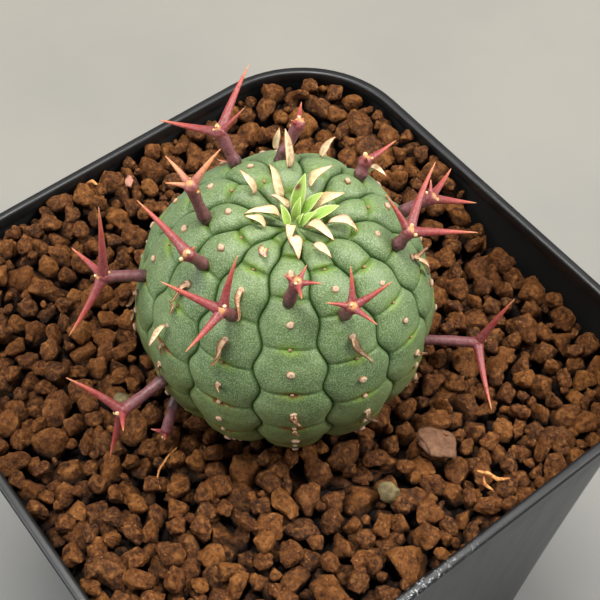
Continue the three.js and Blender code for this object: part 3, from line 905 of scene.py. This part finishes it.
def make_marks():
    scars = Shape()
    eyes = Shape()
    for rib in range(RIBS):
        for step in range(-6, 12):
            row = step / 2
            latitude = row_latitude(rib, row)
            if latitude > 80 or latitude < -52:
                continue
            origin, out, up, _ = skin_frame(rib, row)
            near_leaf = norm(leaf_bases - origin, axis=1).min() < 1.5
            near_foot = norm(feet - origin, axis=1).min() < 1.6
            size = rng.uniform(0.85, 1.15)
            if step % 2 == 0:
                if latitude > 66:
                    continue
                small = 0.7 if near_leaf else 1.0
                stub(scars, origin - out * 0.05, out, up, 0.88 * size * small,
                     0.5 * size * (0.5 if near_leaf else 1), 0.9, 0.25)
            elif not near_foot and latitude < 70:
                low = latitude < 12
                inward = 0.55 + 0.5 * min(1, max(0, (latitude - 35) / 40))
                width = rng.uniform(0.62, 0.85) if low else rng.uniform(0.34, 0.48)
                lift = 0.4 if low else 0.22
                stub(eyes, origin - out * inward, out, up, width, lift + 0.35, 0.85, 0,
                     0.0 if low else 0.6)
    scars.build("leaf_scars", leaf_scar, "dry_leaf")
    eyes.build("groove_eyes", leaf_scar, "dry_leaf")


make_marks()

# rib, row, length, width, heading, curl, tone
REMNANTS = [
    (-1, 0, 4.3, 0.9, 176, 0.9, 0.5),
    (-1, 1, 4.0, 1.1, 198, 1.2, 0.7),
    (-1, -1, 2.0, 1.3, 170, 0.4, 0.2),
    (1, 1, 4.4, 1.0, 176, 1.0, 0.2),
    (1, 3, 3.2, 0.9, 176, 0.6, 0.1),
    (0, 2, 1.9, 1.2, 182, 0.4, 1.0),
    (0, -1, 1.6, 1.0, 165, 0.5, 0.2),
    (-2, 1, 3.4, 0.9, 200, 0.8, 0.5),
    (-3, 2, 2.8, 0.9, 190, 1.0, 0.6),
    (2, 2, 2.2, 0.7, 160, 0.7, 0.8),
    (3, 1, 3.6, 1.0, 150, 0.8, 0.6),
    (-3, 2.5, 1.5, 0.7, 150, 0.8, 0.2),
    (-3, 3, 1.4, 0.8, 200, 0.5, 0.5),
    (-2, 1.5, 1.3, 0.7, 190, 0.6, 0.9),
    (-2, 2.5, 1.2, 0.7, 172, 0.5, 0.6),
    (-2, 3, 1.3, 0.7, 188, 0.4, 0.9),
    (-1, 2, 1.1, 0.7, 184, 0.4, 0.7),
    (0, 2.5, 1.1, 0.9, 178, 0.4, 0.8),
    (2, 3, 2.2, 0.9, 186, 0.7, 0.3),
    (4, 2, 2.8, 0.9, 170, 0.9, 0.5),
    (6, 1, 2.6, 0.8, 190, 0.8, 0.6),
    (7, 2, 3.0, 0.9, 175, 1.1, 0.5),
    (5, 3, 2.2, 0.8, 185, 0.6, 0.7),
]
PURPLE_REMNANT = (-1, -1)


def make_remnants():
    shape = Shape()
    for rib, row, length, width, heading, curl, tone in REMNANTS:
        spot = (0.55, 0.0) if (rib, row) == PURPLE_REMNANT else None
        scrap(shape, rib, row, length, width, heading, curl, tone, spot)
    return shape.build("dried_remnants", withered, "dry_leaf")


make_remnants()


# ---- leaves ----

LEAF_ROOT = 0.35


def make_leaf(name):
    base, tip, side, up, width, arch = leaves[name]
    dry = name.startswith("dry")
    length = norm(tip - base)
    along = unit(tip - base)
    count = 18
    t = np.linspace(0, 1, count)
    twist = rng.uniform(-0.35, 0.35) if dry else rng.uniform(-0.12, 0.12)
    sway = rng.uniform(-0.05, 0.05) * length
    tip_curl = rng.uniform(0.0, 0.10) * length if dry else 0.03 * length
    start = base - along * LEAF_ROOT
    path = start + np.outer(t * (length + LEAF_ROOT), along)
    path = path + np.outer(4 * arch * t * (1 - t) - tip_curl * t ** 4, up)
    path = path + np.outer(sway * np.sin(pi * t), side)
    strip = [turned(along, side, twist * share) for share in t]
    spread = np.sin(pi * np.clip(t, 0, 1) ** 0.85) ** 0.75 * 0.9 + 0.22 * (1 - t) ** 2
    halves = np.maximum(spread * width / 2, 0.05)
    if dry:
        halves = halves * (1 + 0.08 * np.sin(t * 9 + rng.uniform(0, 6)))
        fold = np.clip(0.85 + 0.4 * np.sin(t * 5 + rng.uniform(0, 6)), 0.4, 1.3)
    else:
        fold = np.full(count, 0.42)
    shape = Shape()
    spot = (0.66, 0.5) if name == "leaf_01" else None
    thick = 0.16 if dry else 0.26
    blade(shape, path, strip, halves, fold, thick, 8, rng.uniform(0, 1), spot)
    shape.build(name + "_blade", dry_leaf if dry else green_leaf,
                "dry_leaf" if dry else "leaf", [name])


for leaf_name in leaves:
    make_leaf(leaf_name)


# ---- spines ----

STALK_ROOT = 1.7
STALK_SIDES = 16
STALK_AGE = 0.42
THORN_AGE = 0.46
BLEACHED_SPINE = "spine_03"
THORN_SIDES = 12


def add_stalk(shape, foot, fork):
    along = unit(fork - foot)
    stalk = norm(fork - foot)
    t = np.linspace(0, 1, 18)
    start = foot - along * STALK_ROOT
    total = stalk + STALK_ROOT
    bend = unit(np.cross(along, rng.normal(size=3)))
    path = start + np.outer(t * total, along)
    path = path + np.outer(0.012 * total * np.sin(pi * t) ** 2, bend)
    reach = t * total - STALK_ROOT
    radii = 0.76 + 0.2 * np.exp(-((reach / 0.7) ** 2)) + 0.14 * t ** 4
    radii = radii * (1 + 0.03 * np.sin(t * 14 + rng.uniform(0, 6)))
    points, faces = tube(path, radii, STALK_SIDES)
    age = np.repeat(np.clip(reach / stalk, 0, 1) * STALK_AGE, STALK_SIDES)
    middles = np.concatenate([np.repeat(path, STALK_SIDES, axis=0), path[:1], path[-1:]])
    lumps = 0.05 * wobble(points, 1.1, 3)
    points = points + (points - middles) * lumps[:, None]
    shape.add(points, faces, age=np.concatenate([age, [0, STALK_AGE]]), scar=0, pale=0)


def add_knob(shape, fork, along, size, pale):
    """The swelling where the thorns part, with a scar on its crest."""
    unit_ball, faces = FINE_BALL
    blob = unit_ball * size * (1 + 0.14 * wobble(unit_ball * 2, 1.0, rng.uniform(0, 9)))[:, None]
    crest = np.clip((unit_ball @ along - 0.72) / 0.2, 0, 1)
    shape.add(fork + blob, faces, age=0.47, scar=crest, pale=pale)


def add_thorn(shape, fork, tip, pale):
    direction = unit(tip - fork)
    length = norm(tip - fork)
    width = min(0.74, 0.27 + 0.052 * length)
    t = np.linspace(0, 1, 20)
    bow = unit(np.cross(direction, rng.normal(size=3)))
    path = fork + np.outer(t * length, direction)
    path = path + np.outer(0.022 * length * np.sin(pi * t), bow)
    radii = width * (1 - t) ** 0.86 + 0.035
    radii = radii + 0.16 * width * np.exp(-((t * length - 0.7) / 0.55) ** 2)
    points, faces = tube(path, radii, THORN_SIDES, 0.86, rng.uniform(0, 3))
    age = np.repeat(THORN_AGE + (1 - THORN_AGE) * t ** 1.2, THORN_SIDES)
    shape.add(points, faces, age=np.concatenate([age, [THORN_AGE, 1.0]]), scar=0, pale=pale)


def add_buds(shape, fork, along, size):
    """Two to four dry flower buds on the knob."""
    small_ball, faces = SMALL_BALL
    for _ in range(rng.integers(2, 5)):
        way = unit(along * rng.uniform(0.3, 1.0) + rng.normal(size=3) * 0.6)
        radius = rng.uniform(0.14, 0.26)
        stretch = 1 + 0.9 * np.abs(small_ball @ way)
        place = fork + way * (size * 0.98)
        shape.add(place + small_ball * radius * stretch[:, None], faces, tone=rng.uniform(0, 1))


def make_spine(name):
    foot, fork, tips = spines[name]
    along = unit(fork - foot)
    size = min(0.95, 0.5 + 0.055 * sum(norm(p - fork) for p in tips))
    pale = 1.0 if name == BLEACHED_SPINE else 0.0
    wood = Shape()
    add_stalk(wood, foot, fork)
    add_knob(wood, fork, along, size, pale)
    for tip in tips:
        add_thorn(wood, fork, tip, pale)
    wood.build(name + "_wood", thorn_wood, "spine", [name])
    buds = Shape()
    add_buds(buds, fork, along, size)
    buds.build(name + "_buds", dry_bud, "spine")


for spine_name in spines:
    make_spine(spine_name)


# ---- the grains ----

def smoothstep(value, low, high):
    share = np.clip((value - low) / (high - low), 0, 1)
    return share * share * (3 - 2 * share)


def soil_height(x, y):
    """The grains' tops, banked against the -X wall and heaped at one end of the +Y wall."""
    x, y = np.asarray(x, float), np.asarray(y, float)
    bank = SOIL_BANK * smoothstep(-x, 26, 42)
    heap = SOIL_HEAP * np.exp(-(((46 - y) / 15) ** 2)) * smoothstep(-x, -4, 10)
    return np.minimum(SOIL_HIGHEST, SOIL_LEVEL - SOIL_FALL * y + bank + heap)


def inside_wall(x, y, z):
    """How far a point lies inside the pot's inner wall."""
    half = inner_half(z)
    corner = corner_at(half)
    dx = np.abs(x) - (half - corner)
    dy = np.abs(y) - (half - corner)
    outside = np.hypot(np.maximum(dx, 0), np.maximum(dy, 0))
    return corner - outside - np.minimum(np.maximum(dx, dy), 0)


profile_latitudes = np.linspace(40, NECK_LATITUDE, 60)
profile_radius, profile_height = globe_outline(profile_latitudes)


def from_globe(points):
    """Distance of each point from the globe's smooth outline, below zero inside it."""
    own = to_plant(points)
    reach = np.hypot(own[:, 0], own[:, 1])
    height = own[:, 2]
    apart = np.hypot(reach[:, None] - profile_radius, height[:, None] - profile_height)
    nearest = apart.argmin(1)
    inside = reach < np.interp(height, profile_height[::-1], profile_radius[::-1])
    return np.where(inside, -1, 1) * apart[np.arange(len(own)), nearest]


BED_DEPTH = 8.5
BED_CLEAR = 0.4
GRAIN_SMALL = 0.95
GRAIN_USUAL = 1.58
GRAIN_LARGE = 2.4
MOST_GRAINS = 3200
MOST_FINE = 350
SEEN_DEPTH = 4.2
FINE_DEPTH = 4.5
SOIL_PIECES = 3


def resting_height(x, y, radius, placed, nest=0.97):
    """Height at which a grain comes to rest on the ones already placed."""
    x, y = np.atleast_1d(x), np.atleast_1d(y)
    flat = (x[:, None] - placed[:, 0]) ** 2 + (y[:, None] - placed[:, 1]) ** 2
    reach = (nest * (radius + placed[:, 3])) ** 2
    rise = np.where(flat < reach, placed[:, 2] + np.sqrt(np.maximum(reach - flat, 0)), -1e9)
    return np.maximum(soil_height(x, y) - BED_DEPTH + radius * 0.3, rise.max(1, initial=-1e9))


def pour_grains(placed, most, tries, pick_radius, proud):
    """Drops grains one by one into the pot and keeps the lowest of a few resting places."""
    count = len(placed)
    placed = np.concatenate([placed, np.zeros((most, 4))])
    limit = len(placed)
    misses = 0
    while misses < 80 and count < limit:
        radius = pick_radius()
        x = rng.uniform(-RIM_HALF, RIM_HALF, tries)
        y = rng.uniform(-RIM_HALF, RIM_HALF, tries)
        z = resting_height(x, y, radius, placed[:count])
        places = np.column_stack([x, y, z])
        fits = z + radius * 0.75 < soil_height(x, y) + rng.uniform(-0.6, proud, tries)
        fits &= inside_wall(x, y, z) > radius * 0.98
        fits &= from_globe(places) > radius * 0.86
        if not fits.any():
            misses += 1
            continue
        misses = 0
        z = np.where(fits, z - soil_height(x, y), 1e9)
        best = int(z.argmin())
        placed[count] = [x[best], y[best], places[best, 2], radius]
        count += 1
    return placed[:count]


def grain_points(unit_points, radius, away=(0.54, 0.93)):
    """A blunt-cornered lump: a ball cut by planes, stretched and roughened."""
    cuts = rng.integers(8, 14)
    normals = rng.normal(size=(cuts, 3))
    normals /= norm(normals, axis=1)[:, None]
    distance = rng.uniform(*away, cuts)
    facing = unit_points @ normals.T
    limit = np.where(facing > 0.05, distance / np.maximum(facing, 0.05), 9.0)
    limit = np.concatenate([limit, np.full((len(unit_points), 1), 1.15)], axis=1)
    softness = 0.022
    least = limit.min(1)
    reach = least - softness * np.log(np.exp(-(limit - least[:, None]) / softness).sum(1))
    lump = unit_points * reach[:, None]
    stretch = rng.uniform(0.76, 1.26, 3)
    lump = lump * stretch / stretch.mean()
    shift = rng.uniform(0, 90)
    coarse, fine = wobble(lump, 0.5, shift), wobble(lump, 0.22, shift)
    lump = lump * (1 + 0.16 * coarse + 0.12 * fine)[:, None]
    # relief marks the pits and ridges, for the clay's painted shade and painted highlight
    relief = np.clip(0.5 + 0.35 * coarse + 0.55 * fine, 0, 1)
    turn, _ = np.linalg.qr(rng.normal(size=(3, 3)))
    if np.linalg.det(turn) < 0:
        turn[:, 0] *= -1
    return (lump * radius * 1.22) @ turn.T, relief


def make_grains():
    def coarse():
        return float(np.clip(rng.lognormal(log(GRAIN_USUAL), 0.2), GRAIN_SMALL, GRAIN_LARGE))

    def fine():
        return float(rng.uniform(0.5, 0.9))

    grains = pour_grains(np.zeros((0, 4)), MOST_GRAINS, 24, coarse, 1.0)
    first_fine = len(grains)
    grains = pour_grains(grains, MOST_FINE, 16, fine, 0.1)
    depth = soil_height(grains[:, 0], grains[:, 1]) - grains[:, 2]
    shapes = [Shape() for _ in range(SOIL_PIECES)]
    for i, (x, y, z, radius) in enumerate(grains):
        if i >= first_fine and depth[i] > FINE_DEPTH:
            continue
        unit_points, faces = FINE_BALL if depth[i] < SEEN_DEPTH and i < first_fine else SMALL_BALL
        lump, relief = grain_points(unit_points, radius)
        points = lump + [x, y, z]
        # painted shade: the underside of each grain and what lies below the surface are marked to
        # be painted dark
        under = np.clip(0.15 - lump[:, 2] / radius, 0, 1) ** 0.8
        sunk = np.clip((soil_height(points[:, 0], points[:, 1]) - points[:, 2] - 0.6) / 2, 0, 1)
        tone = float(np.clip(rng.normal(0.45, 0.25), 0, 1))
        chosen = shapes[min(SOIL_PIECES - 1, int((y + RIM_HALF) / (2 * RIM_HALF) * SOIL_PIECES))]
        chosen.add(points, faces, tone=tone, relief=relief, deep=np.maximum(under, sunk))
    for i, shape in enumerate(shapes):
        shape.build(f"clay_grains_{i + 1}", clay, "soil")
    return grains


grains = make_grains()


def make_bed():
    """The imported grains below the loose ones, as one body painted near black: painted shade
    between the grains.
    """
    top_drop = BED_DEPTH - 1.6
    low = FLOOR_TOP + 0.35
    rings = []
    for z in (low, 20, 40, 60):
        half = inner_half(z) - BED_CLEAR
        ring = square_ring(half, corner_at(half))
        rings.append(np.column_stack([ring, np.full(len(ring), float(z))]))
    edge = square_ring(inner_half(66) - BED_CLEAR, corner_at(inner_half(66)))
    for share in (1.0, 0.8, 0.6, 0.4, 0.2):
        ring = edge * share
        rings.append(np.column_stack([ring, soil_height(ring[:, 0], ring[:, 1]) - top_drop]))
    columns = len(rings[0])
    points = np.concatenate(rings + [[[0, 0, soil_height(0, 0) - top_drop]]])
    faces = grid_faces(len(rings), columns, True)
    faces += fan(len(points) - 1, (len(rings) - 1) * columns, columns)
    faces.append(tuple(range(columns - 1, -1, -1)))
    shape = Shape()
    shape.add(points, faces)
    return shape.build("soil_bed", bed_clay, "soil", ["soil"])


make_bed()


# ---- odd things that lie on the grains ----

def on_grains(x, y, radius):
    return np.array([x, y, float(resting_height(x, y, radius, grains)[0])])


def make_pebbles():
    shape = Shape()
    unit_points, faces = FINE_BALL
    for x, y, radius in ((30.1, -1.4, 1.15), (-4.7, -23.4, 1.05)):
        lump, _ = grain_points(unit_points, radius, (0.78, 1.0))
        shape.add(on_grains(x, y, radius) + lump, faces)
    return shape.build("pebbles", grey_stone, "soil")


def flat_chip(name, start, end, width, thick, tilt, material):
    """A thin broken flake that lies on the grains from start to end."""
    start, end = np.array(start), np.array(end)
    middle = (start + end) / 2
    long = np.array([*(end - start), 0.0])
    length = norm(long)
    long = long / length
    wide = np.array([-long[1] * cos(tilt), long[0] * cos(tilt), sin(tilt)])
    thin = np.cross(long, wide)
    unit_points, faces = FINE_BALL
    lump, _ = grain_points(unit_points, 1.0, (0.5, 0.8))
    lump = lump / np.abs(lump).max(0)
    lump[:, :2] *= 1 + 0.25 * wobble(lump, 0.7, 6)[:, None]
    under = [on_grains(*(middle + share * (end - start)), 0.3)[2] for share in (-0.35, 0, 0.35)]
    place = np.array([*middle, max(under) + 0.35 * width * abs(sin(tilt))])
    points = place + np.outer(lump[:, 0] * length / 2, long)
    points = points + np.outer(lump[:, 1] * width / 2, wide)
    points = points + np.outer(lump[:, 2] * thick / 2, thin)
    shape = Shape()
    shape.add(points, faces)
    return shape.build(name, material, "soil")


def make_twigs():
    """Dead twiglets and a rootlet, each a bent rod along a few places on the grains."""
    paths = [
        (((35.1, 10.6), (36.4, 11.6), (37.9, 12.0), (39.0, 13.3)), 0.34),
        (((36.0, 11.1), (37.2, 10.4), (38.6, 10.7)), 0.24),
        (((-43.0, -6.0), (-41.8, -5.2), (-40.3, -5.2)), 0.32),
        (((6.3, -21.2), (7.0, -23.4), (7.7, -25.3), (9.0, -26.4), (10.3, -26.8)), 0.16),
    ]
    shape = Shape()
    for places, radius in paths:
        corners = np.array([on_grains(x, y, radius + 0.2) for x, y in places])
        corners[:, 2] = np.maximum(corners[:, 2], corners[:, 2].mean() + 0.25)
        at = np.linspace(0, len(corners) - 1, 8 * len(corners))
        known = np.arange(len(corners))
        path = np.stack([np.interp(at, known, corners[:, k]) for k in range(3)], axis=1)
        path[1:-1] = (path[:-2] + path[1:-1] + path[2:]) / 3
        thinning = radius * (1 - 0.75 * np.abs(np.linspace(-1, 1, len(path))) ** 2.5)
        points, faces = tube(path, thinning, 8)
        shape.add(points + 0.06 * wobble(points, 0.8, 4)[:, None], faces)
    return shape.build("twigs", twig_wood, "soil")


make_pebbles()
flat_chip("grey_chip", (25.2, 9.4), (32.3, 9.8), 6.4, 1.2, -0.35, brown_stone)
flat_chip("pink_chip", (-40.2, 0.8), (-37.4, -0.8), 1.6, 0.6, 0.3, pink_stone)
make_twigs()


# ---- camera, light and floor ----

CAMERA_BEARING = radians(54.18)
CAMERA_ABOVE = radians(55.66)
CAMERA_ROLL = radians(-1.894)
CAMERA_TARGET = Vector((-1.49, 7.01, 80)) * MM
CAMERA_DISTANCE = 185.66 * MM
CAMERA_LENS = 73.2


def make_camera():
    """Sets the camera and returns the direction from the object to it."""
    across, above = CAMERA_BEARING, CAMERA_ABOVE
    back = Vector((sin(across) * cos(above),
                   -cos(across) * cos(above), sin(above)))
    level = Vector((cos(across), sin(across), 0))
    upright = back.cross(level)
    right = cos(CAMERA_ROLL) * level + sin(CAMERA_ROLL) * upright
    up = -sin(CAMERA_ROLL) * level + cos(CAMERA_ROLL) * upright
    place = CAMERA_TARGET + back * CAMERA_DISTANCE
    camera = show("camera", bpy.data.cameras.new("camera"))
    turn = Matrix((right, up, back)).transposed().to_4x4()
    camera.matrix_world = Matrix.Translation(place) @ turn
    camera.data.lens = CAMERA_LENS
    camera.data.sensor_width = 36
    camera.data.clip_start = 0.01
    bpy.context.scene.camera = camera
    return back


def area_light(name, place, size, power, colour):
    data = bpy.data.lights.new(name, "AREA")
    data.shape = "DISK"
    data.size = size
    data.energy = power
    data.color = colour
    lamp = show(name, data)
    lamp.location = place
    aim = Vector((0, 0, 0.09)) - Vector(place)
    lamp.rotation_mode = "QUATERNION"
    lamp.rotation_quaternion = aim.to_track_quat("-Z", "Y")


def make_stage():
    back = make_camera()
    away = Vector((-back.x, -back.y, 0)).normalized()
    left = Vector((-away.y, away.x, 0))
    # name, metres away from the camera, to its left and up, size, power, colour
    lamps = [("key", 0.10, 0.05, 0.9, 0.35, 8.0, (1, 0.98, 0.95)),
             ("right", 0.10, -0.7, 0.6, 0.5, 8.6, (1, 0.98, 0.95)),
             ("left", -0.1, 0.65, 0.5, 0.5, 3.4, (0.97, 0.98, 1))]
    for name, further, aside, high, size, power, colour in lamps:
        place = away * further + left * aside + Vector((0, 0, high))
        area_light(name, place, size, power, colour)
    world = bpy.data.worlds.new("sky")
    world.use_nodes = True
    bpy.context.scene.world = world
    sky = world.node_tree.nodes["Background"]
    sky.inputs["Color"].default_value = (0.93, 0.95, 1.0, 1)
    sky.inputs["Strength"].default_value = 0.38
    mesh = bpy.data.meshes.new("floor")
    size = 12.0
    mesh.from_pydata([(-size, -size, 0), (size, -size, 0), (size, size, 0), (-size, size, 0)],
                     [], [(0, 1, 2, 3)])
    floor = show("floor", mesh)
    p = Paint("floor", 0.8, 0.3)
    # painted shade: the floor is painted darker towards the camera
    distance = p.reach(away)
    near = p.mix(p.noise(50, 4.0), (124, 126, 127), (138, 138, 134))
    far = p.mix(p.noise(50, 4.0), (128, 127, 122), (146, 142, 132))
    p.colour = p.mix(p.remap(distance, -70, 110), near, far)
    mesh.materials.append(p.finish())


make_stage()
bpy.context.scene.view_settings.view_transform = "Standard"
